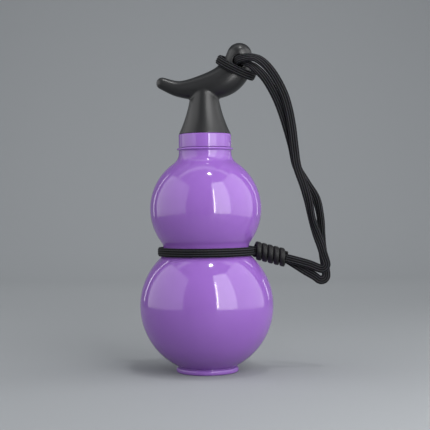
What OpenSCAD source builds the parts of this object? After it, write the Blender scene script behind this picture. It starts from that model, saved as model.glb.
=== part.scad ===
// Gourd water bottle: a hollow bottle of two round bulbs with a waist between them, a screw cap
// that carries a stem-shaped handle, and a flat cord from the handle to a loop round the waist.
// Millimetres. Z is up, the origin is the middle of the foot, and the stem's beak points to -X.

/* [Bottle] */
// Radius of the lower bulb
lower_bulb_r = 47; // [42:0.5:56]
// Radius of the upper bulb
upper_bulb_r = 39.2; // [34:0.1:44]
// Radius of the waist at its narrowest
waist_r = 30; // [24:0.5:31]
// Radius of the hollow curve between the bulbs
waist_curve_r = 8.5; // [6:0.5:12]
// Thickness of the bottle's wall
wall = 1.8; // [1.2:0.1:2.6]
// Radius of the foot ring
foot_r = 22; // [19:0.5:28]
// Height of the foot ring
foot_h = 3.8; // [2.5:0.1:6]
// How far the foot ring stands out from the bulb above it
foot_step = 2.5; // [1.2:0.1:4]
// Radius of the rounded edge of the foot ring
foot_edge_r = 1.5; // [0.5:0.1:1.8]
// Width of the ring that the bottle stands on
foot_land_w = 3.5; // [2:0.1:6]
// Height of the dome pressed up into the base
punt_h = 2.2; // [0.8:0.1:4]

/* [Neck] */
// Radius of the neck below the cap
neck_r = 18.5; // [16:0.5:21]
// Radius of the hollow curve between the upper bulb and the neck
shoulder_curve_r = 9; // [4:0.5:12]
// Straight height of the neck below its flange
neck_h = 1.6; // [0.5:0.1:8]
// How far the flange stands out from the neck
flange_out = 1.4; // [0.6:0.1:3]
// Thickness of the flange
flange_h = 1.6; // [1:0.1:3]
// Height of the threaded mouth above the flange
mouth_h = 6.5; // [5:0.1:12]

/* [Cap] */
// Thickness of the cap's skirt
skirt_wall = 1.6; // [1.2:0.1:2.4]
// Thickness of the cap's top plate
cap_top_h = 1.6; // [1.2:0.1:3]
// Radius of the cap's rounded upper edge
cap_edge_r = 0.8; // [0.3:0.1:1.1]
// Room left for the thread between the mouth and the skirt
thread_room = 1; // [0.8:0.1:1.4]
// Thickness of the sealing gasket
gasket_h = 1.4; // [0.8:0.1:2.5]
// Width of the sealing gasket's ring
gasket_w = 4.6; // [3:0.1:6]
// Radius of the peg that centres the stem on the cap
peg_r = 6; // [4:0.5:8]
// Height of the peg
peg_h = 4; // [2:0.5:6]
// Radius of the fixing screw's shank
screw_r = 2; // [1.5:0.25:2.5]
// Length of the fixing screw's shank
screw_len = 18; // [12:1:21]
// Radius of the fixing screw's head
screw_head_r = 4; // [3.25:0.25:5]
// Height of the fixing screw's head
screw_head_h = 2.4; // [1.5:0.1:3]
// Thickness of the sealing washer under the screw's head
washer_h = 1; // [0.6:0.1:1.5]

/* [Stem handle] */
// Height of the flared part of the cone
cone_h = 21.6; // [16:0.2:24]
// Radius of the cone where its flare ends
cone_top_r = 10.9; // [9.6:0.1:12.5]
// Radius of the cone's hollow side curve
cone_curve_r = 90; // [60:5:200]
// How far the cone's edge stands back from the cap's
cone_step = 0.2; // [0:0.1:1]
// Distance of the beak's tip centre from the axis
beak_reach = 29.5; // [24:0.5:36]
// Height of the beak's tip centre above the cap
beak_h = 36; // [33:0.5:42]
// Radius of the beak's tip
beak_tip_r = 4.3; // [3:0.1:5.5]
// Distance of the knob's centre from the axis
knob_reach = 25; // [21:0.5:27]
// Height of the knob's centre above the cap
knob_h = 54.9; // [52:0.5:60]
// Radius of the knob
knob_r = 9; // [8:0.1:10]
// Radius of the eyelet through the stem's neck
eyelet_r = 4.4; // [3.9:0.1:4.6]

/* [Cord] */
// Width of the flat braided cord
cord_w = 6; // [5:0.1:6.4]
// Thickness of the flat braided cord
cord_t = 3.2; // [2.4:0.1:3.3]
// Radius of the hitch round the stem's neck, to the middle of the cord
hitch_r = 13.6; // [13:0.1:14.5]
// Number of turns in the slip knot
knot_turns = 5; // [3:1:7]
// Distance between the slip knot's turns
knot_pitch = 4.25; // [4.25:0.05:5]
// Width of a flattened turn, along the knot
turn_w = 3.8; // [2.6:0.1:3.8]
// Thickness of a flattened turn, across the knot
turn_t = 2.7; // [2:0.1:3]
// Radius of the cords squeezed together inside the slip knot
core_r = 3.5; // [2.8:0.1:3.8]

/* [Hidden] */
$fn = 96;

// Clearances
fit_gap = 0.2;
run_gap = 0.3;
end_gap = 0.6;
cord_gap = 0.25;
screw_gap = 0.05;
join = 0.05;

// Heights of the bottle, each found from the piece below it
lower_z = foot_h + sqrt(pow(lower_bulb_r, 2) - pow(foot_r - foot_step, 2));
waist_curve_x = waist_r + waist_curve_r;
waist_z = lower_z + sqrt(pow(lower_bulb_r + waist_curve_r, 2) - pow(waist_curve_x, 2));
upper_z = waist_z + sqrt(pow(upper_bulb_r + waist_curve_r, 2) - pow(waist_curve_x, 2));
shoulder_x = neck_r + shoulder_curve_r;
shoulder_z = upper_z + sqrt(pow(upper_bulb_r + shoulder_curve_r, 2) - pow(shoulder_x, 2));
flange_z = shoulder_z + neck_h;
mouth_z = flange_z + flange_h;
rim_z = mouth_z + mouth_h;

// The cap, which ends flush with the neck
cap_r = neck_r;
skirt_in_r = cap_r - skirt_wall;
skirt_z = mouth_z + run_gap;
gasket_z = rim_z + run_gap;
plate_z = gasket_z + gasket_h;
cap_z = plate_z + cap_top_h;
mouth_out_r = skirt_in_r - thread_room;
mouth_in_r = mouth_out_r - wall;
gasket_r = skirt_in_r - fit_gap;
head_z = plate_z - washer_h;

// The stem's body: [distance from the axis, height above the cap, radius] along its middle
cone_base_r = cap_r - cone_step;
stem_stations = [
    [-beak_reach, beak_h, beak_tip_r],
    [-17.5, 31.9, 5.8],
    [-2, 32.6, 8.8],
    [13.2, 37, 10.9],
    [22, 45.2, 10.9],
    [knob_reach, knob_h, knob_r]];
stem_steps = 4;
stem_sides = 28;
stem_end_rings = 5;
core_top_h = 33;
core_top_r = 8.2;

// The eyelet and the hitch, which hang on the stem's neck
eyelet_at = [24.6, cap_z + 50];
hitch_at = [22.6, 0, cap_z + 46.4];
hitch_tilt = [12, 26.7, 0];

// The middle of the cord's two legs from the back of the eyelet to the slip knot, chosen by hand:
// [x, y, z, angle of the line across both legs, place of the first leg on it and of the second,
// how far they lie in front of the middle and behind it, turn of their flat sides]. They cross at
// row 10, where the first leg goes over from the outer side to the inner.
LEG_ROUTE = [
    [24.6, 10.5, 217.4, 90, 0, 0, 1.7, 0],
    [24.6, -11, 217.4, 90, 0, 0, 1.7, 0],
    [27.2, -16.2, 217.2, 88, 0.8, -0.8, 1.9, -22],
    [32.2, -17.6, 216.2, 78, 2.4, -2.4, 1.7, -40],
    [37.8, -15.6, 213.6, 62, 3.4, -3.4, 0.5, -16],
    [44.3, -11.8, 207.2, 38, 3.3, -3.3, 0, 0],
    [52.2, -7, 193.8, 24, 2.95, -2.95, 0.9, 0],
    [56, -4, 183.2, 17, 2.35, -2.35, 1.4, 0],
    [59, -2, 171, 13, 1.5, -1.5, 1.7, 0],
    [61.5, -1, 158, 10, 0.6, -0.6, 1.75, 0],
    [64, 0, 144, 18, 0, 0, 1.75, 0],
    [69.8, 0, 132, 27, -1.3, 1.3, 1.75, 12],
    [74.9, 0, 120.5, 20, -3.2, 3.2, 1.2, 38],
    [77.9, 0, 107.5, 13, -3.15, 3.15, 0.9, 46],
    [79.9, 0, 95.5, 12, -2.1, 2.1, 1.5, 32],
    [82.8, 0, 82, 6, -0.2, 0.2, 1.8, 5],
    [83.7, 0, 74.4, -14, -0.9, 0.9, 1.8, 0],
    [82.4, 0, 69, -38, -2.3, 2.3, 1.75, 0],
    [79.4, 0, 67.4, -75, -3.8, 3.8, 1.3, 0],
    [74.7, 0, 70.3, -112, -3.4, 3.4, 1.3, 0],
    [66.5, 0, 75.2, -114, -0.8, 0.8, 1.8, 0],
    [56, 0, 79.4, -105, 0, 0, 1.75, 0]];
LEG_SPLIT = 10;
leg_steps = 2;
leg_sides = 12;

// The slip knot lies between the waist loop and the legs' lower end
knot_tilt = 15.2;
knot_len = knot_turns * knot_pitch;
knot_dir = [cos(knot_tilt), 0, -sin(knot_tilt)];
legs_end = LEG_ROUTE[len(LEG_ROUTE) - 1];
knot_out = [legs_end[0], 0, legs_end[2]] - knot_dir * end_gap;
knot_mid = knot_out - knot_dir * knot_len / 2;
turn_r = core_r + cord_gap + turn_t / 2;
turn_rings = 24;
turn_sides = 6;
turn_lean = 0.6;
turn_tuck = 5;

// The waist loop, which lies in the hollow between the bulbs with its flat side to the bottle
waist_cord_z = waist_z - 1.6;
waist_low = waist_cord_z - (cord_w - cord_t) / 2;
waist_room = waist_curve_r - cord_t / 2 - cord_gap;
waist_cord_x = waist_curve_x - sqrt(pow(waist_room, 2) - pow(waist_z - waist_low, 2));

// The squeezed cords inside the slip knot, from the waist loop's outer side to the knot's far end
core_in_x = waist_cord_x + cord_t / 2 + run_gap + core_r * sin(knot_tilt);
core_len = (knot_out[0] - core_in_x) / knot_dir[0];

function unit(v) = v / norm(v);

// A smooth curve through the points p, at the place t between point i and the next
function along(p, i, t) =
    let (a = p[max(i - 1, 0)], b = p[i], c = p[min(i + 1, len(p) - 1)], d = p[min(i + 2, len(p) - 1)])
    0.5 * (2 * b + (c - a) * t + (2 * a - 5 * b + 4 * c - d) * pow(t, 2)
        + (3 * b - a - 3 * c + d) * pow(t, 3));

// The middle of a ring of points
function middle_of(ring) = [for (s = [0 : len(ring) - 1]) 1] * ring / len(ring);

// The tube whose rings of points are given, closed at both ends round the rings' middles
module tube(rings) {
    sides = len(rings[0]);
    last = len(rings) - 1;
    start = len(rings) * sides;
    polyhedron(
        points = concat([for (ring = rings) each ring], [middle_of(rings[0]), middle_of(rings[last])]),
        faces = concat(
            [for (s = [0 : sides - 1]) [start, (s + 1) % sides, s]],
            [for (r = [0 : last - 1], s = [0 : sides - 1]) let (n = (s + 1) % sides)
                each [[r * sides + s, (r + 1) * sides + n, (r + 1) * sides + s],
                    [r * sides + s, r * sides + n, (r + 1) * sides + n]]],
            [for (s = [0 : sides - 1])
                [start + 1, last * sides + s, last * sides + (s + 1) % sides]]));
}

// The outline of the bottle in its half plane; inset 0 is the outside and inset wall the inside
module gourd_profile(inset) {
    translate([0, lower_z])
        circle(lower_bulb_r - inset);
    translate([0, upper_z])
        circle(upper_bulb_r - inset);
    difference() {
        polygon([[0, lower_z], [waist_curve_x, waist_z], [0, upper_z]]);
        translate([waist_curve_x, waist_z])
            circle(waist_curve_r + inset);
    }
    difference() {
        polygon([[0, upper_z], [shoulder_x, shoulder_z], [0, shoulder_z]]);
        translate([shoulder_x, shoulder_z])
            circle(shoulder_curve_r + inset);
    }
    translate([0, shoulder_z - join])
        square([neck_r - inset, flange_z - shoulder_z + join]);
}

module foot_profile() {
    square([foot_r - foot_edge_r, foot_h]);
    translate([foot_r - foot_edge_r, foot_edge_r])
        circle(foot_edge_r);
    translate([0, foot_edge_r])
        square([foot_r, foot_h - 2 * foot_edge_r]);
    translate([foot_r - foot_edge_r, foot_h - foot_edge_r])
        circle(foot_edge_r);
}

module flange_profile() {
    translate([0, flange_z])
        square([neck_r + flange_out - flange_h / 2, flange_h]);
    translate([neck_r + flange_out - flange_h / 2, flange_z + flange_h / 2])
        circle(flange_h / 2);
}

// Hollow two-bulb bottle with its foot ring, pressed-up base, neck flange and mouth
module bottle_shell() {
    punt_r = foot_r - foot_edge_r - foot_land_w;
    punt_ball_r = (pow(punt_r, 2) + pow(punt_h, 2)) / (2 * punt_h);
    color("#9a68c9")
        difference() {
            rotate_extrude()
                intersection() {
                    union() {
                        gourd_profile(0);
                        foot_profile();
                        flange_profile();
                        translate([0, mouth_z - join])
                            square([mouth_out_r, mouth_h + join]);
                    }
                    square([2 * lower_bulb_r, rim_z]);
                }
            rotate_extrude()
                intersection() {
                    gourd_profile(wall);
                    translate([0, punt_h + wall])
                        square([2 * lower_bulb_r, flange_z - 2 * wall - punt_h]);
                }
            translate([0, 0, flange_z - wall - join])
                cylinder(h = rim_z, r = mouth_in_r);
            translate([0, 0, punt_h - punt_ball_r])
                sphere(punt_ball_r);
        }
}

// Purple screw cap: a plain skirt, a top plate and the peg that centres the stem
module cap_shell() {
    color("#9a68c9")
        difference() {
            union() {
                rotate_extrude() {
                    translate([0, skirt_z])
                        square([cap_r, cap_z - cap_edge_r - skirt_z]);
                    translate([0, cap_z - cap_edge_r - join])
                        square([cap_r - cap_edge_r, cap_edge_r + join]);
                    translate([cap_r - cap_edge_r, cap_z - cap_edge_r])
                        circle(cap_edge_r);
                }
                translate([0, 0, cap_z - join])
                    cylinder(h = peg_h + join, r = peg_r);
            }
            translate([0, 0, skirt_z - 1])
                cylinder(h = plate_z - skirt_z + 1, r = skirt_in_r);
            translate([0, 0, plate_z - 1])
                cylinder(h = cap_top_h + peg_h + 2, r = screw_r + fit_gap);
        }
}

// Soft ring that seals the mouth's rim
module cap_gasket() {
    color("#e4e1dc")
        translate([0, 0, gasket_z])
            difference() {
                cylinder(h = gasket_h, r = gasket_r);
                translate([0, 0, -1])
                    cylinder(h = gasket_h + 2, r = gasket_r - gasket_w);
            }
}

// Screw that holds the stem on the cap from inside, with a domed head and a plain shank
module stem_screw() {
    color("#b9bbbd")
        union() {
            translate([0, 0, head_z - join])
                cylinder(h = screw_len + join, r = screw_r);
            translate([0, 0, head_z])
                mirror([0, 0, 1])
                    cylinder(h = screw_head_h, r1 = screw_head_r, r2 = screw_head_r * 0.7);
        }
}

// Soft washer that keeps water out of the screw's hole
module screw_washer() {
    color("#e4e1dc")
        translate([0, 0, head_z])
            difference() {
                cylinder(h = washer_h, r = screw_head_r + 1);
                translate([0, 0, -1])
                    cylinder(h = washer_h + 2, r = screw_r + screw_gap);
            }
}

// One ring of the stem's body: place s counts stations, and the ring is square to its middle line
function stem_ring(s) =
    let (i = min(floor(s), len(stem_stations) - 2), t = s - i,
        here = along(stem_stations, i, t),
        near = along(stem_stations, i, max(t - 0.02, 0)),
        far = along(stem_stations, i, min(t + 0.02, 1)),
        way = unit([far[0] - near[0], far[1] - near[1]]))
    [here, way];

// A circle of points of radius r round a point of the middle line, moved off along the line
function stem_circle(ring, r, off) =
    [for (k = [0 : stem_sides - 1]) let (a = 360 * k / stem_sides, way = ring[1])
        [ring[0][0] + way[0] * off - way[1] * r * cos(a), r * sin(a),
            ring[0][1] + way[1] * off + way[0] * r * cos(a)]];

// The bent, tapering body from the beak's round tip to the knob's round top
module stem_body() {
    spans = len(stem_stations) - 1;
    first = stem_ring(0);
    final = stem_ring(spans);
    tube(concat(
        [for (j = [1 : stem_end_rings]) let (a = 90 * j / stem_end_rings - 90 / stem_end_rings / 2)
            stem_circle(first, first[0][2] * sin(a), -first[0][2] * cos(a))],
        [for (j = [0 : spans * stem_steps]) let (ring = stem_ring(j / stem_steps))
            stem_circle(ring, ring[0][2], 0)],
        [for (j = [stem_end_rings : -1 : 1]) let (a = 90 * j / stem_end_rings - 90 / stem_end_rings / 2)
            stem_circle(final, final[0][2] * sin(a), final[0][2] * cos(a))]));
}

// The flared cone under the body, with a hollow side curve
module stem_cone() {
    chord = norm([cone_base_r - cone_top_r, cone_h]);
    middle = [(cone_base_r + cone_top_r) / 2, cone_h / 2];
    outward = [cone_h, cone_base_r - cone_top_r] / chord;
    rotate_extrude()
        difference() {
            polygon([[0, 0], [cone_base_r, 0], [cone_base_r, cone_h], [0, cone_h]]);
            translate(middle + outward * sqrt(pow(cone_curve_r, 2) - pow(chord / 2, 2)))
                circle(cone_curve_r);
        }
    translate([0, 0, cone_h - join])
        cylinder(h = core_top_h - cone_h + join, r1 = cone_top_r, r2 = core_top_r);
}

// Black stem handle, one moulding: cone, belly, beak and knob, with the cord's eyelet
module stem_handle() {
    color("#2b2b2e")
        difference() {
            translate([0, 0, cap_z])
                union() {
                    stem_cone();
                    stem_body();
                }
            translate([0, 0, cap_z - 1])
                cylinder(h = peg_h + fit_gap + 1, r = peg_r + fit_gap);
            translate([0, 0, cap_z])
                cylinder(h = screw_len - cap_top_h, r = screw_r + screw_gap);
            translate([eyelet_at[0], 0, eyelet_at[1]])
                rotate([90, 0, 0])
                    cylinder(h = 6 * knob_r, r = eyelet_r, center = true);
        }
}

// The cord's section in the half plane of a turned loop: flat sides upright, edges rounded
module cord_section() {
    square([cord_t, cord_w - cord_t], center = true);
    for (side = [-1, 1])
        translate([0, side * (cord_w - cord_t) / 2])
            circle(cord_t / 2, $fn = 48);
}

// The cord's loop round the stem's neck
module hitch_cord() {
    color("#1d1d20")
        translate(hitch_at)
            rotate(hitch_tilt)
                rotate_extrude()
                    translate([hitch_r, 0])
                        cord_section();
}

// The middle of both legs at a row of the route, and leg k's own point and width line there
function route_at(i) = [for (j = [0 : 2]) LEG_ROUTE[i][j]];
function leg_at(k, i) =
    let (row = LEG_ROUTE[i], last = len(LEG_ROUTE) - 1,
        side = [cos(row[3]), 0, sin(row[3])],
        front = unit(cross(route_at(min(i + 1, last)) - route_at(max(i - 1, 0)), side)),
        spot = route_at(i) + side * row[4 + k] + front * (k == 0 ? row[6] : -row[6]),
        wide = side * cos(row[7]) + front * sin(row[7]))
    concat(spot, wide);
LEGS = [for (k = [0, 1]) [for (i = [0 : len(LEG_ROUTE) - 1]) leg_at(k, i)]];

// Leg k as a flat tube of twelve sides, smooth through the rows from one to another
function first3(v) = [v[0], v[1], v[2]];
function last3(v) = [v[3], v[4], v[5]];
function leg_ring(k, s) =
    let (i = min(floor(s), len(LEG_ROUTE) - 2), t = s - i,
        here = along(LEGS[k], i, t),
        near = first3(along(LEGS[k], i, max(t - 0.02, 0))),
        far = first3(along(LEGS[k], i, min(t + 0.02, 1))),
        way = unit(far - near),
        deep = unit(cross(way, last3(here))),
        wide = cross(deep, way))
    [for (j = [0 : leg_sides - 1])
        let (a = 360 * (j + 0.5) / leg_sides, edge = (cord_w - cord_t) / 2 * (cos(a) > 0 ? 1 : -1))
        first3(here) + wide * (edge + cord_t / 2 * cos(a)) + deep * cord_t / 2 * sin(a)];

module upper_leg(k) {
    color("#1d1d20")
        tube([for (n = [0 : LEG_SPLIT * leg_steps]) leg_ring(k, n / leg_steps)]);
}

module lower_leg(k) {
    way = unit(first3(LEGS[k][LEG_SPLIT + 1]) - first3(LEGS[k][LEG_SPLIT - 1]));
    color("#1d1d20")
        tube(concat([[for (p = leg_ring(k, LEG_SPLIT)) p + way * run_gap]],
            [for (n = [LEG_SPLIT * leg_steps + 1 : (len(LEG_ROUTE) - 1) * leg_steps])
                leg_ring(k, n / leg_steps)]));
}

// The slip knot's turns, wound from the back: a flattened tube of six sides on a helix whose
// front halves lie nearly square to the knot
function turn_ring(n, tail) =
    let (t = n / turn_rings, a = 360 * t,
        radial = [0, cos(a), sin(a)],
        way = [0, -sin(a), cos(a)],
        place = knot_pitch * (t - turn_lean * sin(a) / 360 * 57.3 - knot_turns / 2),
        middle = [place, 0, 0] + radial * turn_r + way * tail)
    [for (s = [0 : turn_sides - 1]) let (b = 360 * s / turn_sides)
        middle + [cos(b) * turn_w / 2, 0, 0] + radial * sin(b) * turn_t / 2];
turn_first = turn_tuck;
turn_last = knot_turns * turn_rings - turn_tuck;
KNOT_RINGS = concat([turn_ring(turn_first, -turn_w)],
    [for (n = [turn_first : turn_last]) turn_ring(n, 0)],
    [turn_ring(turn_last, turn_w)]);
knot_gap = min([for (n = [1 : len(KNOT_RINGS) - turn_rings - 5], m = [-3 : 3],
    p = KNOT_RINGS[n], q = KNOT_RINGS[n + turn_rings + max(m, 1 - n - turn_rings)]) norm(p - q)]);
echo("least gap between the slip knot's turns", knot_gap);

module slip_knot() {
    color("#26262a")
        translate(knot_mid)
            rotate([0, knot_tilt, 0])
                tube(KNOT_RINGS);
}

// The cords squeezed together inside the slip knot
module knot_core() {
    color("#1d1d20")
        translate(knot_out - knot_dir * core_len)
            rotate([0, 90 + knot_tilt, 0])
                cylinder(h = core_len, r = core_r);
}

// The waist loop, drawn tight in the hollow between the bulbs
module waist_cord() {
    color("#1d1d20")
        translate([0, 0, waist_cord_z])
            rotate_extrude()
                translate([waist_cord_x, 0])
                    cord_section();
}

bottle_shell();
cap_shell();
cap_gasket();
stem_handle();
stem_screw();
screw_washer();
hitch_cord();
upper_leg(0);  // upper_leg_outer
upper_leg(1);  // upper_leg_inner
lower_leg(1);  // lower_leg_outer
lower_leg(0);  // lower_leg_inner
slip_knot();
knot_core();
waist_cord();
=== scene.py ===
import math

import bmesh
import bpy
from mathutils import Matrix, Vector


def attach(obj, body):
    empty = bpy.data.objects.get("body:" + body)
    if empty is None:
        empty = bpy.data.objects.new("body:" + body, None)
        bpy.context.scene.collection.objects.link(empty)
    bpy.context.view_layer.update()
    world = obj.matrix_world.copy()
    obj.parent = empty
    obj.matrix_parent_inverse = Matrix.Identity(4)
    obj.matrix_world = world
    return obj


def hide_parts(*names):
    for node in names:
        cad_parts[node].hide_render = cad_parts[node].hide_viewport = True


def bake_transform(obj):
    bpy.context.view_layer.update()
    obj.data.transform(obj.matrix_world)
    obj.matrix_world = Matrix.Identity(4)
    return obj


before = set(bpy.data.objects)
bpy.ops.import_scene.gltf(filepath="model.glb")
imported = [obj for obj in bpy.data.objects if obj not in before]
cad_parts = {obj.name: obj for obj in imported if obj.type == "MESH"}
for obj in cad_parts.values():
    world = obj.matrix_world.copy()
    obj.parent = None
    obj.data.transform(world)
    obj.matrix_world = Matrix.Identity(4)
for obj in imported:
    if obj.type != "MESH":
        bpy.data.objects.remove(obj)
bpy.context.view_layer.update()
mm = 0.001
studio = bpy.context.scene
studio.view_settings.view_transform = "Standard"


# Camera: level with the bottle's waist, three quarters of a metre in front of it, with the
# small roll that the picture has.
eye = Vector((6.5, -775, 118)) * mm
aim = Vector((6.5, 0, 110.3)) * mm
lens = bpy.data.cameras.new("camera")
lens.sensor_width = 36
lens.lens = 92.1
camera = bpy.data.objects.new("camera", lens)
camera.location = eye
look = (aim - eye).to_track_quat("-Z", "Y").to_matrix().to_4x4()
camera.rotation_euler = (look @ Matrix.Rotation(math.radians(-0.7), 4, "Z")).to_euler()
studio.collection.objects.link(camera)
studio.camera = camera


# Braided cord: a limp flat black cord, 6 mm wide and 3.2 mm thick, braided from fine yarns round
# a soft core. It is dull, and its yarns lie nearly along it, so it looks ribbed lengthwise.
cord_width, cord_thickness = 6.2 * mm, 3.2 * mm


def cord_material():
    paint = bpy.data.materials.new("black_braid")
    paint.use_nodes = True
    nodes, links = paint.node_tree.nodes, paint.node_tree.links
    skin = nodes["Principled BSDF"]
    skin.inputs["Roughness"].default_value = 0.66
    skin.inputs["Specular IOR Level"].default_value = 0.06
    skin.inputs["Sheen Weight"].default_value = 0.025
    skin.inputs["Sheen Roughness"].default_value = 0.45
    skin.inputs["Sheen Tint"].default_value = (0.55, 0.56, 0.6, 1)
    # Painted light: the colour follows the yarn height. The crests are painted lighter as a painted highlight and
    # the grooves near black as painted shade, over the cord's own black.
    height = nodes.new("ShaderNodeAttribute")
    height.attribute_name = "yarn_height"
    painted_rib_light_and_shade = nodes.new("ShaderNodeValToRGB")
    painted_rib_light_and_shade.color_ramp.elements[0].color = (0.0006, 0.0006, 0.0007, 1)
    painted_rib_light_and_shade.color_ramp.elements[0].position = 0.4
    painted_rib_light_and_shade.color_ramp.elements[1].color = (0.027, 0.027, 0.0305, 1)
    painted_rib_light_and_shade.color_ramp.elements[1].position = 0.97
    links.new(height.outputs["Fac"], painted_rib_light_and_shade.inputs["Fac"])
    where = nodes.new("ShaderNodeTexCoord")
    mottle = nodes.new("ShaderNodeTexNoise")
    mottle.inputs["Scale"].default_value = 900
    mottle.inputs["Detail"].default_value = 3
    links.new(where.outputs["Object"], mottle.inputs["Vector"])
    fleck = nodes.new("ShaderNodeMix")
    fleck.data_type = "RGBA"
    fleck.blend_type = "OVERLAY"
    fleck.inputs["Factor"].default_value = 0.5
    links.new(painted_rib_light_and_shade.outputs["Color"], fleck.inputs[6])
    links.new(mottle.outputs["Color"], fleck.inputs[7])
    links.new(fleck.outputs[2], skin.inputs["Base Color"])
    fibres = nodes.new("ShaderNodeTexNoise")
    fibres.inputs["Scale"].default_value = 4200
    fibres.inputs["Detail"].default_value = 2
    links.new(where.outputs["Object"], fibres.inputs["Vector"])
    nap = nodes.new("ShaderNodeBump")
    nap.inputs["Strength"].default_value = 0.5
    nap.inputs["Distance"].default_value = 0.00004
    links.new(fibres.outputs["Fac"], nap.inputs["Height"])
    links.new(nap.outputs["Normal"], skin.inputs["Normal"])
    return paint


def braid_tree():
    """Sweeps a flat cord along a line, its flat sides square to the stored width vectors."""
    tree = bpy.data.node_groups.new("flat braid", "GeometryNodeTree")
    made = {}
    tree.interface.new_socket("Geometry", in_out="INPUT", socket_type="NodeSocketGeometry")
    for label, kind in (("Width", "Float"), ("Thickness", "Float"), ("Ring spacing", "Float"),
                        ("Sides", "Int"), ("Ribs", "Int"), ("Stitch length", "Float"),
                        ("Relief", "Float"), ("Material", "Material")):
        socket = tree.interface.new_socket(label, in_out="INPUT", socket_type="NodeSocket" + kind)
        made[label] = socket.identifier
    tree.interface.new_socket("Geometry", in_out="OUTPUT", socket_type="NodeSocketGeometry")
    add, link = tree.nodes.new, tree.links.new
    given = add("NodeGroupInput").outputs

    def maths(what, a, b=None):
        step = add("ShaderNodeMath")
        step.operation = what
        for socket, value in zip(step.inputs, (a, b)):
            if isinstance(value, (int, float)):
                socket.default_value = value
            elif value is not None:
                link(value, socket)
        return step.outputs[0]

    line = add("GeometryNodeMeshToCurve")
    link(given["Geometry"], line.inputs["Mesh"])
    rings = add("GeometryNodeResampleCurve")
    rings.mode = "LENGTH"
    link(line.outputs["Curve"], rings.inputs["Curve"])
    link(given["Ring spacing"], rings.inputs["Length"])
    wide = add("GeometryNodeInputNamedAttribute")
    wide.data_type = "FLOAT_VECTOR"
    wide.inputs["Name"].default_value = "wide"
    stand = add("GeometryNodeSetCurveNormal")
    stand.mode = "FREE"
    link(rings.outputs["Curve"], stand.inputs["Curve"])
    link(wide.outputs["Attribute"], stand.inputs["Normal"])
    place = add("GeometryNodeSplineParameter")
    keep_along = add("GeometryNodeCaptureAttribute")
    keep_along.capture_items.new("FLOAT", "along")
    link(stand.outputs["Curve"], keep_along.inputs["Geometry"])
    link(place.outputs["Length"], keep_along.inputs["along"])

    ring = add("GeometryNodeCurvePrimitiveCircle")
    link(given["Sides"], ring.inputs["Resolution"])
    ring.inputs["Radius"].default_value = 1
    apart = add("ShaderNodeSeparateXYZ")
    link(add("GeometryNodeInputPosition").outputs["Position"], apart.inputs["Vector"])
    section = add("ShaderNodeCombineXYZ")
    for axis, size in (("X", "Width"), ("Y", "Thickness")):
        fuller = maths("POWER", maths("ABSOLUTE", apart.outputs[axis]), 0.62)
        signed = maths("MULTIPLY", fuller, maths("SIGN", apart.outputs[axis]))
        link(maths("MULTIPLY", signed, maths("MULTIPLY", given[size], 0.5)), section.inputs[axis])
    shape = add("GeometryNodeSetPosition")
    link(ring.outputs["Curve"], shape.inputs["Geometry"])
    link(section.outputs["Vector"], shape.inputs["Position"])
    round_place = add("GeometryNodeSplineParameter")
    keep_round = add("GeometryNodeCaptureAttribute")
    keep_round.capture_items.new("FLOAT", "around")
    link(shape.outputs["Geometry"], keep_round.inputs["Geometry"])
    link(round_place.outputs["Factor"], keep_round.inputs["around"])
    sweep = add("GeometryNodeCurveToMesh")
    link(keep_along.outputs["Geometry"], sweep.inputs["Curve"])
    link(keep_round.outputs["Geometry"], sweep.inputs["Profile Curve"])
    sweep.inputs["Fill Caps"].default_value = True

    rib = maths("MULTIPLY", keep_round.outputs["around"], given["Ribs"])
    rib_crown = maths("POWER", maths("ABSOLUTE", maths("SINE", maths("MULTIPLY", rib, math.pi))), 1.1)
    lean = maths("MULTIPLY", maths("PINGPONG", rib, 1), 1.0)
    stitch = maths("ADD", maths("DIVIDE", keep_along.outputs["along"], given["Stitch length"]), lean)
    stitch_crown = maths("ABSOLUTE", maths("SINE", maths("MULTIPLY", stitch, math.pi)))
    crown = maths("MULTIPLY", rib_crown, maths("ADD", maths("MULTIPLY", stitch_crown, 0.22), 0.78))
    # The stored yarn height also sets the painted highlight on the crests and the painted shade in the grooves of
    # the cord's colour.
    keep_crown = add("GeometryNodeStoreNamedAttribute")
    keep_crown.data_type = "FLOAT"
    keep_crown.domain = "POINT"
    keep_crown.inputs["Name"].default_value = "yarn_height"
    link(sweep.outputs["Mesh"], keep_crown.inputs["Geometry"])
    link(crown, keep_crown.inputs["Value"])
    outward = add("ShaderNodeVectorMath")
    outward.operation = "SCALE"
    link(add("GeometryNodeInputNormal").outputs["Normal"], outward.inputs[0])
    link(maths("MULTIPLY", maths("SUBTRACT", crown, 1), given["Relief"]), outward.inputs["Scale"])
    raise_yarns = add("GeometryNodeSetPosition")
    link(keep_crown.outputs["Geometry"], raise_yarns.inputs["Geometry"])
    link(outward.outputs["Vector"], raise_yarns.inputs["Offset"])
    smooth = add("GeometryNodeSetShadeSmooth")
    link(raise_yarns.outputs["Geometry"], smooth.inputs["Geometry"])
    real = add("GeometryNodeRealizeInstances")
    link(smooth.outputs["Geometry"], real.inputs["Geometry"])
    coat = add("GeometryNodeSetMaterial")
    link(real.outputs["Geometry"], coat.inputs["Geometry"])
    link(given["Material"], coat.inputs["Material"])
    link(coat.outputs["Geometry"], add("NodeGroupOutput").inputs["Geometry"])
    return tree, made


black_braid = cord_material()
flat_braid, flat_braid_inputs = braid_tree()


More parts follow.
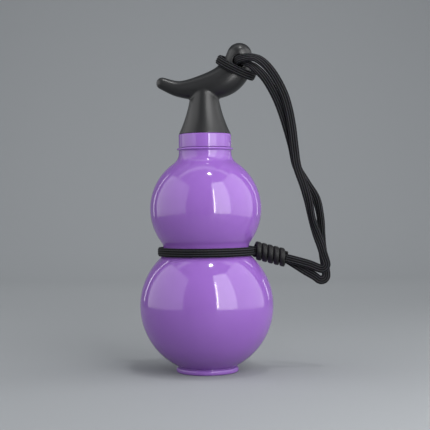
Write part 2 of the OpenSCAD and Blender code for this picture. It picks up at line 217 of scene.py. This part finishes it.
def lay_cord(name, points, widths, closed=False, material=None, place=None, **sizes):
    """Makes one plain mesh of the cord along the points, in millimetres, with its width along
    the vector at each of them, or along one vector for all."""
    line = bpy.data.meshes.new(name + "_line")
    edges = [(i, i + 1) for i in range(len(points) - 1)]
    if closed:
        edges.append((len(points) - 1, 0))
    line.from_pydata([Vector(point) * mm for point in points], edges, [])
    if not isinstance(widths, list):
        widths = [widths] * len(points)
    stored = line.attributes.new("wide", "FLOAT_VECTOR", "POINT")
    for item, width in zip(stored.data, widths):
        item.vector = width
    guide = bpy.data.objects.new(name + "_line", line)
    studio.collection.objects.link(guide)
    maker = guide.modifiers.new("cord", "NODES")
    maker.node_group = flat_braid
    values = {"Width": cord_width, "Thickness": cord_thickness, "Ring spacing": 0.45 * mm, "Sides": 96,
              "Ribs": 10, "Stitch length": 2.4 * mm, "Relief": 0.38 * mm, "Material": material or black_braid}
    values.update(sizes)
    for label, value in values.items():
        maker[flat_braid_inputs[label]] = value
    bpy.context.view_layer.update()
    mesh = bpy.data.meshes.new_from_object(guide.evaluated_get(bpy.context.evaluated_depsgraph_get()))
    bpy.data.objects.remove(guide)
    bpy.data.meshes.remove(line)
    mesh.name = name
    if place:
        mesh.transform(place)
    piece = bpy.data.objects.new(name, mesh)
    studio.collection.objects.link(piece)
    return piece


# Two legs: the cord comes through the eyelet in the stem and runs down the bottle's right side in
# two legs. They cross halfway down, fold sharply on edge one below the other, each round a crease,
# and enter the slip knot. Rows down to the fold give the middle of both legs, the angle of the line
# across them, how far apart they lie along it and in depth, and the turn of their flat sides.
leg_route = [
    (24.6, 10.5, 217.4, 90, 0, 1.7, 0),
    (24.6, -11, 217.4, 90, 0, 1.7, 0),
    (27.2, -16.2, 217.2, 88, 0.8, 1.9, -22),
    (32.2, -17.6, 216.2, 78, 2.4, 1.7, -40),
    (37.8, -15.6, 213.6, 62, 3.2, 0.6, -16),
    (44.6, -11.8, 207.2, 38, 3.1, 0.4, 0),
    (52.4, -7, 194.2, 24, 2.9, 1.0, 0),
    (56.4, -4, 183.5, 17, 2.4, 1.4, 0),
    (59.6, -2, 171, 13, 1.6, 1.7, 0),
    (62.1, -1, 158, 10, 0.6, 1.75, 0),
    (64.6, 0, 144, 18, 0, 1.75, 0),
    (69.9, 0, 132, 27, -1.3, 1.75, 0),
    (75, 0, 120.5, 20, -2.9, 1.1, 24),
    (77.8, 0, 107.5, 13, -3.1, 1.0, 47),
    (79.7, 0, 95.5, 12, -1.6, 1.6, 22),
    (81.2, 0, 88, 9, -0.6, 1.7, 8),
    (82.6, 0, 81.5, 5, 0, 1.7, 16)]
creases = ((81, 74.9, 3.3), (81.1, 66.9, 3.4))
leg_tails = ([(72.5, 1.2, 74.8, 73), (64.5, 1.6, 77.2, 72), (56, 1.75, 79.5, 75)],
             [(76.2, -1.1, 66.4, 60), (69.6, -1.3, 70.3, 59), (62.4, -1.6, 75, 60), (56, -1.75, 79, 70)])


def smooth_line(points, steps, gaps=None):
    """The points joined by a smooth curve, each stretch cut into equal steps. The gaps are the
    stretches' lengths along the curve, where they differ."""
    line = []
    last = len(points) - 1
    gaps = gaps or [1] * last
    for i in range(last):
        a, b, c, d = (points[max(i - 1, 0)], points[i], points[i + 1], points[min(i + 2, last)])
        before, here, after = gaps[max(i - 1, 0)], gaps[i], gaps[min(i + 1, last - 1)]
        leave = ((b - a) / before - (c - a) / (before + here) + (c - b) / here) * here
        arrive = ((c - b) / here - (d - b) / (here + after) + (d - c) / after) * here
        for step in range(steps):
            t = step / steps
            line.append(b + leave * t + (3 * (c - b) - 2 * leave - arrive) * t ** 2
                        + (leave + arrive - 2 * (c - b)) * t ** 3)
    return line + [points[last]]


def leg_line(number):
    """The leg's smooth middle line and its width vectors, from the eyelet to the slip knot."""
    rows = [Vector(row[:3]) for row in leg_route]
    hand = 1 if number == 1 else -1
    points, widths = [], []
    for i, (x, y, z, lean, apart, deep, turn) in enumerate(leg_route):
        side = Vector((math.cos(math.radians(lean)), 0, math.sin(math.radians(lean))))
        way = rows[min(i + 1, len(rows) - 1)] - rows[max(i - 1, 0)]
        front = way.cross(side).normalized()
        points.append(rows[i] + hand * (side * apart + front * deep))
        widths.append(side * math.cos(math.radians(turn)) + front * math.sin(math.radians(turn)))
    crease_x, crease_z, reach = creases[number - 1]
    for angle in (0, -30, -60, -88, -114 if number == 1 else -118):
        side = Vector((math.cos(math.radians(angle)), 0, math.sin(math.radians(angle))))
        deep = hand * (1.7 + 0.5 * angle / 110)
        points.append(Vector((crease_x, -deep, crease_z)) + side * reach)
        widths.append(side)
    for x, y, z, lean in leg_tails[number - 1]:
        points.append(Vector((x, -y, z)))
        widths.append(-Vector((math.cos(math.radians(lean)), 0, math.sin(math.radians(lean)))))
    gaps = [math.sqrt((near - far).length) for near, far in zip(points, points[1:])]
    return smooth_line(points, 10, gaps), smooth_line(widths, 10, gaps)


legs = []
for number in (1, 2):
    line, widths = leg_line(number)
    legs.append((lay_cord("leg_%d" % number, line, widths), line))


# Slip knot: five flat turns of cord wound tightly round both legs where they become the waist
# loop. The turns were pressed smooth, so they show no braid.
knot_turns = 5
knot_pitch = 4.25
knot_radius = 5.1
turn_width = 3.8
turn_thickness = 2.7
turn_lean = 0.6
knot_tilt = math.radians(15.2)
knot_way = Vector((math.cos(knot_tilt), 0, -math.sin(knot_tilt)))
knot_out = Vector((56, 0, 79.4)) - knot_way * 0.6
knot_in = knot_out - knot_way * knot_turns * knot_pitch
knot_middle = (knot_in + knot_out) / 2

smooth_black = bpy.data.materials.new("black_wound_cord")
smooth_black.use_nodes = True
nodes, links = smooth_black.node_tree.nodes, smooth_black.node_tree.links
skin = nodes["Principled BSDF"]
skin.inputs["Base Color"].default_value = (0.0045, 0.0045, 0.005, 1)
skin.inputs["Roughness"].default_value = 0.5
skin.inputs["Specular IOR Level"].default_value = 0.22
skin.inputs["Sheen Weight"].default_value = 0.04
skin.inputs["Sheen Roughness"].default_value = 0.5
where = nodes.new("ShaderNodeTexCoord")
fuzz = nodes.new("ShaderNodeTexNoise")
fuzz.inputs["Scale"].default_value = 2600
fuzz.inputs["Detail"].default_value = 3
links.new(where.outputs["Object"], fuzz.inputs["Vector"])
nap = nodes.new("ShaderNodeBump")
nap.inputs["Strength"].default_value = 0.35
nap.inputs["Distance"].default_value = 0.00004
links.new(fuzz.outputs["Fac"], nap.inputs["Height"])
links.new(nap.outputs["Normal"], skin.inputs["Normal"])

helix = []
for step in range(-12, knot_turns * 48 + 13):
    turn = step / 48
    angle = 2 * math.pi * turn
    tuck = max(-turn, turn - knot_turns, 0)
    along = min(max(turn, 0), knot_turns)
    reach = knot_radius - 2.2 * (tuck / 0.25) ** 2
    helix.append((reach * math.cos(angle), reach * math.sin(angle),
                  knot_pitch * (along - turn_lean * math.sin(angle) / (2 * math.pi) - knot_turns / 2)))
axis_up = Matrix(((0, 0, 1, 0), (1, 0, 0, 0), (0, 1, 0, 0), (0, 0, 0, 1)))
knot_place = (Matrix.Translation(knot_middle * mm) @ Matrix.Rotation(knot_tilt, 4, "Y") @ axis_up)
slip_knot = lay_cord("slip_knot_turns", helix, Vector((0, 0, 1)), material=smooth_black, place=knot_place,
                     Width=turn_width * mm, Thickness=turn_thickness * mm, Relief=0.0, Sides=28,
                     **{"Ring spacing": 0.5 * mm})

knot_pieces = [slip_knot]
knot_height = Vector((math.sin(knot_tilt), 0, math.cos(knot_tilt)))
for number, deep in ((1, 1.5), (2, -1.5)):
    line = [knot_in + knot_way * (knot_turns * knot_pitch * part / 10 + 0.4) + Vector((0, deep, 0))
            for part in range(11)]
    knot_pieces.append(lay_cord("knot_cord_%d" % number, line, knot_height, Width=5.6 * mm, Thickness=2.9 * mm))

for number, (leg, line) in enumerate(legs, 1):
    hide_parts(*(("upper_leg_outer", "lower_leg_inner") if number == 1
                       else ("upper_leg_inner", "lower_leg_outer")))
    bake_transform(leg)
for piece in knot_pieces:
    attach(piece, "tether")
    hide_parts("slip_knot" if piece is slip_knot else "knot_core")


# Waist loop: the cord's noose, drawn tight with its flat side to the hollow between the bulbs.
# Its two ends turn outward and run side by side into the slip knot on the right.
waist_seat, waist_level = 32.57, 84.94
waist_line = [Vector((36.2, 1.5, waist_level - 0.1)), Vector((34.9, 2.2, waist_level))]
waist_line += [Vector((waist_seat * math.cos(a), waist_seat * math.sin(a), waist_level))
               for a in (math.radians(d) for d in range(9, 352, 3))]
waist_line += [Vector((34.9, -2.2, waist_level)), Vector((36.2, -1.5, waist_level - 0.1))]
waist_loop = lay_cord("waist_loop", smooth_line(waist_line, 3), Vector((0, 0, 1)))
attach(waist_loop, "tether")
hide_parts("waist_cord")


# Hitch: one round of the cord, drawn tight round the stem's neck below the knob.
hitch_middle = Vector((22.6, 0, 213.685))
hitch_radius = 13.6
hitch_turn = (Matrix.Translation(hitch_middle * mm) @ Matrix.Rotation(math.radians(26.7), 4, "Y")
              @ Matrix.Rotation(math.radians(12), 4, "X"))
hitch_line = [Vector((hitch_radius * math.cos(a), hitch_radius * math.sin(a), 0))
              for a in (math.radians(d) for d in range(0, 360, 3))]
hitch = lay_cord("hitch_loop", hitch_line, Vector((0, 0, 1)), closed=True, place=hitch_turn)
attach(hitch, "cap")
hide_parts("hitch_cord")


# Bottle: one hollow blow-moulded shell of glossy purple plastic, two round bulbs with a waist
# between them, standing on a foot ring. The base is pressed up, and the mouth has a thread.
def purple_material():
    paint = bpy.data.materials.new("purple_gloss")
    paint.use_nodes = True
    nodes, links = paint.node_tree.nodes, paint.node_tree.links
    skin = nodes["Principled BSDF"]
    skin.inputs["Roughness"].default_value = 0.09
    skin.inputs["IOR"].default_value = 1.5
    skin.inputs["Subsurface Weight"].default_value = 0.12
    skin.inputs["Subsurface Radius"].default_value = (1.0, 0.55, 1.1)
    skin.inputs["Subsurface Scale"].default_value = 0.0025
    where = nodes.new("ShaderNodeTexCoord")
    cloud = nodes.new("ShaderNodeTexNoise")
    cloud.inputs["Scale"].default_value = 22
    cloud.inputs["Detail"].default_value = 2
    links.new(where.outputs["Object"], cloud.inputs["Vector"])
    tint = nodes.new("ShaderNodeValToRGB")
    tint.color_ramp.elements[0].color = (0.188, 0.08, 0.327, 1)
    tint.color_ramp.elements[0].position = 0.3
    tint.color_ramp.elements[1].color = (0.206, 0.088, 0.353, 1)
    tint.color_ramp.elements[1].position = 0.7
    links.new(cloud.outputs["Fac"], tint.inputs["Fac"])
    links.new(tint.outputs["Color"], skin.inputs["Base Color"])
    ripple = nodes.new("ShaderNodeTexNoise")
    ripple.inputs["Scale"].default_value = 60
    ripple.inputs["Detail"].default_value = 1
    links.new(where.outputs["Object"], ripple.inputs["Vector"])
    swell = nodes.new("ShaderNodeBump")
    swell.inputs["Strength"].default_value = 0.2
    swell.inputs["Distance"].default_value = 0.00012
    links.new(ripple.outputs["Fac"], swell.inputs["Height"])
    links.new(swell.outputs["Normal"], skin.inputs["Normal"])
    return paint


purple_gloss = purple_material()
lower_bulb_r, upper_bulb_r = 47.0, 39.2
lower_z, upper_z = 46.564, 114.700
waist_x, waist_z, waist_curve = 38.5, 86.539, 8.5
shoulder_x, shoulder_z, shoulder_curve = 27.5, 154.285, 9.0
flange_z, mouth_z, rim_z = 155.885, 157.485, 163.985
neck_r, mouth_r, wall = 18.5, 15.9, 1.8


def arc(x, z, radius, start, end, steps):
    """Points of an arc, from one angle to another in degrees, in the bottle's half plane."""
    return [(x + radius * math.cos(math.radians(start + (end - start) * i / steps)),
             z + radius * math.sin(math.radians(start + (end - start) * i / steps)))
            for i in range(steps + 1)]


def turned(name, outline, material, sides=192):
    """Turns a closed half outline round the axis, with its ends on the axis or joined."""
    tree = bpy.data.node_groups.get("turned piece")
    if tree is None:
        tree = bpy.data.node_groups.new("turned piece", "GeometryNodeTree")
        for label, kind in (("Geometry", "Geometry"), ("Sides", "Int"), ("Hub radius", "Float"),
                            ("Material", "Material")):
            tree.interface.new_socket(label, in_out="INPUT", socket_type="NodeSocket" + kind)
        tree.interface.new_socket("Geometry", in_out="OUTPUT", socket_type="NodeSocketGeometry")
        add, link = tree.nodes.new, tree.links.new
        given = add("NodeGroupInput").outputs
        hub = add("GeometryNodeCurvePrimitiveCircle")
        link(given["Sides"], hub.inputs["Resolution"])
        link(given["Hub radius"], hub.inputs["Radius"])
        sweep = add("GeometryNodeCurveToMesh")
        link(hub.outputs["Curve"], sweep.inputs["Curve"])
        link(given["Geometry"], sweep.inputs["Profile Curve"])
        weld = add("GeometryNodeMergeByDistance")
        weld.inputs["Distance"].default_value = 0.000005
        link(sweep.outputs["Mesh"], weld.inputs["Geometry"])
        smooth = add("GeometryNodeSetShadeSmooth")
        link(weld.outputs["Geometry"], smooth.inputs["Geometry"])
        real = add("GeometryNodeRealizeInstances")
        link(smooth.outputs["Geometry"], real.inputs["Geometry"])
        coat = add("GeometryNodeSetMaterial")
        link(real.outputs["Geometry"], coat.inputs["Geometry"])
        link(given["Material"], coat.inputs["Material"])
        link(coat.outputs["Geometry"], add("NodeGroupOutput").inputs["Geometry"])
    ids = {s.name: s.identifier for s in tree.interface.items_tree if s.in_out == "INPUT"}
    hub_radius = 0.001
    line = bpy.data.curves.new(name + "_outline", "CURVE")
    line.dimensions = "3D"
    spline = line.splines.new("POLY")
    spline.points.add(len(outline) - 1)
    for point, (radius, height) in zip(spline.points, outline):
        point.co = (radius * mm - hub_radius, -height * mm, 0, 1)
    spline.use_cyclic_u = outline[0][0] > 0.001
    guide = bpy.data.objects.new(name + "_outline", line)
    studio.collection.objects.link(guide)
    maker = guide.modifiers.new("turned", "NODES")
    maker.node_group = tree
    maker[ids["Sides"]] = sides
    maker[ids["Hub radius"]] = hub_radius
    maker[ids["Material"]] = material
    bpy.context.view_layer.update()
    mesh = bpy.data.meshes.new_from_object(guide.evaluated_get(bpy.context.evaluated_depsgraph_get()))
    bpy.data.objects.remove(guide)
    bpy.data.curves.remove(line)
    mesh.name = name
    work = bmesh.new()
    work.from_mesh(mesh)
    bmesh.ops.remove_doubles(work, verts=work.verts, dist=0.000005)
    bmesh.ops.recalc_face_normals(work, faces=work.faces)
    work.to_mesh(mesh)
    work.free()
    piece = bpy.data.objects.new(name, mesh)
    studio.collection.objects.link(piece)
    return piece


lower_to_waist = math.degrees(math.atan2(waist_z - lower_z, waist_x))
waist_to_upper = math.degrees(math.atan2(upper_z - waist_z, waist_x))
upper_to_shoulder = math.degrees(math.atan2(shoulder_z - upper_z, shoulder_x))
foot_angle = math.degrees(math.atan2(3.8 - lower_z, 19.5))
inner_floor = 4.0
inner_angle = math.degrees(math.asin((inner_floor - lower_z) / (lower_bulb_r - wall)))
bottle_outline = (
    [(0.0, 2.2)]
    + arc(0, 2.2 - 66.89, 66.89, 90 - 3, 90 - 13.6, 8)
    + [(16.9, 0.1), (17.5, 0.0), (20.5, 0.0)]
    + arc(20.5, 1.5, 1.5, -80, 0, 8)
    + arc(20.5, 2.3, 1.5, 0, 75, 8)
    + [(20.3, 3.8)]
    + arc(0, lower_z, lower_bulb_r, foot_angle + 0.3, lower_to_waist, 96)
    + arc(waist_x, waist_z, waist_curve, 180 + lower_to_waist, 180 - waist_to_upper, 28)[1:]
    + arc(0, upper_z, upper_bulb_r, -waist_to_upper, upper_to_shoulder, 80)[1:]
    + arc(shoulder_x, shoulder_z, shoulder_curve, 180 + upper_to_shoulder, 180, 18)[1:]
    + [(neck_r, flange_z - 0.4), (neck_r + 0.12, flange_z - 0.1), (neck_r + 0.4, flange_z)]
    + arc(neck_r + 0.6, flange_z + 0.8, 0.8, -90, 90, 12)
    + [(mouth_r + 0.4, mouth_z), (mouth_r + 0.08, mouth_z + 0.1), (mouth_r, mouth_z + 0.5),
       (mouth_r, rim_z - 0.4), (mouth_r - 0.15, rim_z - 0.1), (mouth_r - 0.4, rim_z),
       (mouth_r - wall + 0.4, rim_z), (mouth_r - wall + 0.1, rim_z - 0.1),
       (mouth_r - wall, rim_z - 0.4), (mouth_r - wall, mouth_z - 2), (mouth_r - wall + 0.6, mouth_z - 3),
       (neck_r - wall - 0.5, mouth_z - 3.6), (neck_r - wall, flange_z - wall - 0.8)]
    + arc(shoulder_x, shoulder_z, shoulder_curve + wall, 180, 180 + upper_to_shoulder, 18)
    + arc(0, upper_z, upper_bulb_r - wall, upper_to_shoulder, -waist_to_upper, 80)[1:]
    + arc(waist_x, waist_z, waist_curve + wall, 180 - waist_to_upper, 180 + lower_to_waist, 28)[1:]
    + arc(0, lower_z, lower_bulb_r - wall, lower_to_waist, inner_angle, 96)[1:]
    + [(0.0, inner_floor)])
bottle = turned("bottle", bottle_outline, purple_gloss)

thread_pitch = 3.2
bottle_thread = [((mouth_r - 0.15) * math.cos(turn * 2 * math.pi), (mouth_r - 0.15) * math.sin(turn * 2 * math.pi),
                  mouth_z + 1.5 + thread_pitch * turn) for turn in (step / 64 for step in range(97))]
mouth_thread = lay_cord("mouth_thread", bottle_thread, Vector((0, 0, 1)), material=purple_gloss,
                        Width=1.6 * mm, Thickness=1.4 * mm, Relief=0.0, Sides=12,
                        **{"Ring spacing": 0.8 * mm})
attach(bottle, "bottle")
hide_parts("bottle_shell")
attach(mouth_thread, "bottle")


# Cap: a plain purple screw cap moulded with a top plate and a low peg that centres the stem.
# Its thread runs up inside the skirt.
skirt_z, plate_z, cap_z = 157.785, 165.685, 167.285
cap_r, skirt_in_r, peg_r, peg_top, screw_hole = 18.5, 16.9, 6.0, 171.285, 2.2
cap_outline = (
    [(skirt_in_r + 0.3, skirt_z), (cap_r - 0.3, skirt_z)]
    + arc(cap_r - 0.3, skirt_z + 0.3, 0.3, -70, 0, 4)
    + arc(cap_r - 0.8, cap_z - 0.8, 0.8, 0, 90, 10)
    + [(peg_r + 0.2, cap_z), (peg_r, cap_z + 0.2), (peg_r, peg_top - 0.3), (peg_r - 0.3, peg_top),
       (screw_hole, peg_top), (screw_hole, plate_z), (skirt_in_r, plate_z), (skirt_in_r, skirt_z + 0.3)])
cap = turned("cap", cap_outline, purple_gloss)
cap_thread_route = [((skirt_in_r + 0.15) * math.cos(turn * 2 * math.pi),
                     (skirt_in_r + 0.15) * math.sin(turn * 2 * math.pi),
                     mouth_z + 1.5 + thread_pitch * (turn - 0.5)) for turn in (step / 64 for step in range(45, 131))]
cap_thread = lay_cord("cap_thread", cap_thread_route, Vector((0, 0, 1)), material=purple_gloss,
                      Width=1.2 * mm, Thickness=1.4 * mm, Relief=0.0, Sides=12,
                      **{"Ring spacing": 0.8 * mm})
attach(cap, "cap")
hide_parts("cap_shell")
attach(cap_thread, "cap")


# Seals: a flat ring that the mouth's rim presses into, and a small washer under the fixing
# screw's head, both of pale silicone rubber.
seal_rubber = bpy.data.materials.new("pale_silicone")
seal_rubber.use_nodes = True
nodes, links = seal_rubber.node_tree.nodes, seal_rubber.node_tree.links
skin = nodes["Principled BSDF"]
skin.inputs["Roughness"].default_value = 0.55
skin.inputs["Subsurface Weight"].default_value = 0.3
skin.inputs["Subsurface Scale"].default_value = 0.001
where = nodes.new("ShaderNodeTexCoord")
cloud = nodes.new("ShaderNodeTexNoise")
cloud.inputs["Scale"].default_value = 300
links.new(where.outputs["Object"], cloud.inputs["Vector"])
tint = nodes.new("ShaderNodeValToRGB")
tint.color_ramp.elements[0].color = (0.62, 0.6, 0.56, 1)
tint.color_ramp.elements[1].color = (0.74, 0.72, 0.68, 1)
links.new(cloud.outputs["Fac"], tint.inputs["Fac"])
links.new(tint.outputs["Color"], skin.inputs["Base Color"])
for node in ("cap_gasket", "screw_washer"):
    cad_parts[node].data.materials.clear()
    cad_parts[node].data.materials.append(seal_rubber)


# Fixing screw: brushed stainless steel, driven up through the cap into the stem.
screw_steel = bpy.data.materials.new("brushed_screw_steel")
screw_steel.use_nodes = True
nodes, links = screw_steel.node_tree.nodes, screw_steel.node_tree.links
skin = nodes["Principled BSDF"]
skin.inputs["Metallic"].default_value = 1
skin.inputs["Base Color"].default_value = (0.56, 0.57, 0.58, 1)
where = nodes.new("ShaderNodeTexCoord")
streak = nodes.new("ShaderNodeTexNoise")
streak.inputs["Scale"].default_value = 900
links.new(where.outputs["Object"], streak.inputs["Vector"])
dull = nodes.new("ShaderNodeMapRange")
dull.inputs["To Min"].default_value = 0.25
dull.inputs["To Max"].default_value = 0.42
links.new(streak.outputs["Fac"], dull.inputs["Value"])
links.new(dull.outputs["Result"], skin.inputs["Roughness"])
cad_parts["stem_screw"].data.materials.clear()
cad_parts["stem_screw"].data.materials.append(screw_steel)


# Stem handle: one moulding of black satin plastic. A flared cone bends over into a curved beak
# on the left and a round knob on the right, with a rounded eyelet for the cord below the knob.
stem_black = bpy.data.materials.new("black_satin")
stem_black.use_nodes = True
nodes, links = stem_black.node_tree.nodes, stem_black.node_tree.links
skin = nodes["Principled BSDF"]
skin.inputs["Specular IOR Level"].default_value = 0.42
where = nodes.new("ShaderNodeTexCoord")
cloud = nodes.new("ShaderNodeTexNoise")
cloud.inputs["Scale"].default_value = 45
cloud.inputs["Detail"].default_value = 3
links.new(where.outputs["Object"], cloud.inputs["Vector"])
tint = nodes.new("ShaderNodeValToRGB")
tint.color_ramp.elements[0].color = (0.004, 0.004, 0.0044, 1)
tint.color_ramp.elements[1].color = (0.0065, 0.0065, 0.007, 1)
links.new(cloud.outputs["Fac"], tint.inputs["Fac"])
links.new(tint.outputs["Color"], skin.inputs["Base Color"])
dull = nodes.new("ShaderNodeMapRange")
dull.inputs["To Min"].default_value = 0.3
dull.inputs["To Max"].default_value = 0.38
links.new(cloud.outputs["Fac"], dull.inputs["Value"])
links.new(dull.outputs["Result"], skin.inputs["Roughness"])
grain = nodes.new("ShaderNodeTexNoise")
grain.inputs["Scale"].default_value = 1500
links.new(where.outputs["Object"], grain.inputs["Vector"])
etch = nodes.new("ShaderNodeBump")
etch.inputs["Strength"].default_value = 0.25
etch.inputs["Distance"].default_value = 0.00002
links.new(grain.outputs["Fac"], etch.inputs["Height"])
links.new(etch.outputs["Normal"], skin.inputs["Normal"])

stem_stations = [Vector(v) for v in ((-29.5, 36, 4.3), (-17.5, 31.9, 5.8), (-2, 32.6, 8.8), (13.2, 37, 10.9),
                                     (22, 45.2, 10.9), (25, 54.9, 9))]
stem_sides = 72


def ring_round(work, middle, way, radius, off):
    across = Vector((-way.y, way.x))
    centre = middle + way * off
    return [work.verts.new(Vector((centre.x + across.x * radius * math.cos(a), radius * math.sin(a),
                                   cap_z + centre.y + across.y * radius * math.cos(a))) * mm)
            for a in (2 * math.pi * k / stem_sides for k in range(stem_sides))]


def close_tube(work, rings, first, final):
    for near, far in zip(rings, rings[1:]):
        for k in range(len(near)):
            n = (k + 1) % len(near)
            work.faces.new((near[k], near[n], far[n], far[k]))
    for k in range(len(rings[0])):
        n = (k + 1) % len(rings[0])
        work.faces.new((first, rings[0][n], rings[0][k]))
        work.faces.new((final, rings[-1][k], rings[-1][n]))


middle_line = smooth_line(stem_stations, 12)
work = bmesh.new()
rings = []
for i, station in enumerate(middle_line):
    before, after = middle_line[max(i - 1, 0)], middle_line[min(i + 1, len(middle_line) - 1)]
    way = Vector((after.x - before.x, after.y - before.y)).normalized()
    spot = Vector((station.x, station.y))
    if i == 0:
        tip = work.verts.new(Vector((spot.x - way.x * station.z, 0, cap_z + spot.y - way.y * station.z)) * mm)
        rings += [ring_round(work, spot, way, station.z * math.sin(a), -station.z * math.cos(a))
                  for a in (math.radians(d) for d in range(10, 90, 10))]
    rings.append(ring_round(work, spot, way, station.z, 0))
    if i == len(middle_line) - 1:
        rings += [ring_round(work, spot, way, station.z * math.cos(a), station.z * math.sin(a))
                  for a in (math.radians(d) for d in range(10, 90, 10))]
        top = work.verts.new(Vector((spot.x + way.x * station.z, 0, cap_z + spot.y + way.y * station.z)) * mm)
close_tube(work, rings, tip, top)
bmesh.ops.recalc_face_normals(work, faces=work.faces)
crook_mesh = bpy.data.meshes.new("crook")
work.to_mesh(crook_mesh)
work.free()
crook = bpy.data.objects.new("crook", crook_mesh)
studio.collection.objects.link(crook)

cone_h, cone_base_r, cone_top_r, cone_curve = 21.6, 18.3, 10.9, 90.0
sag = (math.hypot(cone_base_r - cone_top_r, cone_h) ** 2) / (8 * cone_curve)
cone_outline = [(0.0, cap_z)] + [(cone_base_r - 0.35, cap_z), (cone_base_r - 0.1, cap_z + 0.1)]
for step in range(1, 25):
    part = step / 24
    cone_outline.append((cone_base_r + (cone_top_r - cone_base_r) * part - 4 * sag * part * (1 - part),
                         cap_z + cone_h * part))
cone_outline += [(8.2, cap_z + 33), (0.0, cap_z + 33)]
stem = turned("stem", cone_outline, stem_black, sides=144)
socket = turned("socket", [(0.0, cap_z - 1), (peg_r + 0.2, cap_z - 1), (peg_r + 0.2, cap_z + 4.2),
                           (2.05, cap_z + 4.2), (2.05, cap_z + 16.4), (0.0, cap_z + 16.4)], stem_black, sides=64)
eyelet = turned("eyelet", [(0.0, -27), (4.4, -27), (4.4, 27), (0.0, 27)], stem_black, sides=64)
eyelet.data.transform(Matrix.Translation((0.0246, 0, 0.217285)) @ Matrix.Rotation(math.radians(90), 4, "X"))


def cut_or_join(target, tool, operation):
    step = target.modifiers.new("shape", "BOOLEAN")
    step.operation = operation
    step.solver = "EXACT"
    step.object = tool
    bpy.context.view_layer.update()
    result = bpy.data.meshes.new_from_object(target.evaluated_get(bpy.context.evaluated_depsgraph_get()))
    target.modifiers.remove(step)
    target.data = result
    bpy.data.objects.remove(tool)


cut_or_join(stem, crook, "UNION")
cut_or_join(stem, eyelet, "DIFFERENCE")
smoothed = stem.modifiers.new("even", "REMESH")
smoothed.mode = "VOXEL"
smoothed.voxel_size = 0.5 * mm
smoothed.use_smooth_shade = True
bpy.context.view_layer.update()
even = bpy.data.meshes.new_from_object(stem.evaluated_get(bpy.context.evaluated_depsgraph_get()))
stem.modifiers.remove(smoothed)
stem.data = even
free = stem.vertex_groups.new(name="free")
for v in even.vertices:
    height = v.co.z / mm - cap_z
    free.add([v.index], min(max((height - 1.0) / 3.0, 0), 1), "REPLACE")
soften = stem.modifiers.new("soften", "SMOOTH")
soften.factor = 0.5
soften.iterations = 26
soften.vertex_group = "free"
bpy.context.view_layer.update()
soft = bpy.data.meshes.new_from_object(stem.evaluated_get(bpy.context.evaluated_depsgraph_get()))
stem.modifiers.remove(soften)
stem.vertex_groups.clear()
stem.data = soft
cut_or_join(stem, socket, "DIFFERENCE")
stem.data.materials.clear()
stem.data.materials.append(stem_black)
stem.data.name = "stem"
for polygon in stem.data.polygons:
    polygon.material_index = 0
    polygon.use_smooth = True
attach(stem, "cap")
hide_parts("stem_handle")


# Floor and backdrop: one plain pale sweep.
work = bmesh.new()
sweep_line = [(-1.6, 0.0), (0.9, 0.0)]
sweep_line += [(0.9 + 0.6 * math.sin(a), 0.6 - 0.6 * math.cos(a))
               for a in (math.radians(d) for d in range(6, 91, 6))] + [(1.5, 2.6)]
columns = [[work.verts.new((x, y, z)) for x in (-2.2, 2.2)] for y, z in sweep_line]
for near, far in zip(columns, columns[1:]):
    work.faces.new((near[0], near[1], far[1], far[0]))
floor_mesh = bpy.data.meshes.new("floor")
work.to_mesh(floor_mesh)
work.free()
for polygon in floor_mesh.polygons:
    polygon.use_smooth = True
floor = bpy.data.objects.new("floor", floor_mesh)
studio.collection.objects.link(floor)
pale = bpy.data.materials.new("pale_sweep")
pale.use_nodes = True
pale.node_tree.nodes["Principled BSDF"].inputs["Base Color"].default_value = (0.23, 0.24, 0.25, 1)
pale.node_tree.nodes["Principled BSDF"].inputs["Roughness"].default_value = 0.75
floor_mesh.materials.append(pale)


# Studio light: a large soft box on the right, a dimmer one on the left, a small lamp overhead
# and an even grey surround.
def soft_box(name, place, target, width, height, power):
    lamp = bpy.data.lights.new(name, "AREA")
    lamp.shape = "RECTANGLE"
    lamp.size, lamp.size_y = width, height
    lamp.energy = power
    holder = bpy.data.objects.new(name, lamp)
    holder.location = place
    holder.rotation_euler = (Vector(target) - Vector(place)).to_track_quat("-Z", "Y").to_euler()
    studio.collection.objects.link(holder)
    return lamp


soft_box("front_right_box", (0.304, -0.459, 0.43), (0, 0, 0.43), 0.34, 0.82, 4.3)
soft_box("right_box", (0.494, -0.078, 0.42), (0, 0, 0.42), 0.6, 0.82, 2.9)
soft_box("bright_edge", (0.171, -0.52, 0.3), (0, 0, 0.3), 0.02, 0.5, 0.7)
soft_box("left_box", (-0.6, -0.12, 0.42), (0, 0, 0.42), 1.0, 0.82, 3.6)
for name, side in (("right_strip", 1), ("left_strip", -1)):
    soft_box(name, (0.453 * side, 0.394, 0.3), (0, 0, 0.3), 0.016, 0.5, 0.16)
soft_box("overhead_strip", (-0.05, 0.02, 0.95), (-0.05, 0, 0.2), 1.3, 0.14, 0.7)
soft_box("backdrop_wash", (0, 0.72, 0.66), (0, 1.3, 0.0), 1.8, 0.2, 4.8)
top_lamp = soft_box("top_lamp", (0.13, -0.28, 1.2), (0, 0, 0.1), 0.07, 0.07, 3)
top_lamp.shape = "DISK"
surround = bpy.data.worlds.new("surround")
surround.use_nodes = True
surround.node_tree.nodes["Background"].inputs["Color"].default_value = (0.62, 0.65, 0.68, 1)
surround.node_tree.nodes["Background"].inputs["Strength"].default_value = 0.62
studio.world = surround
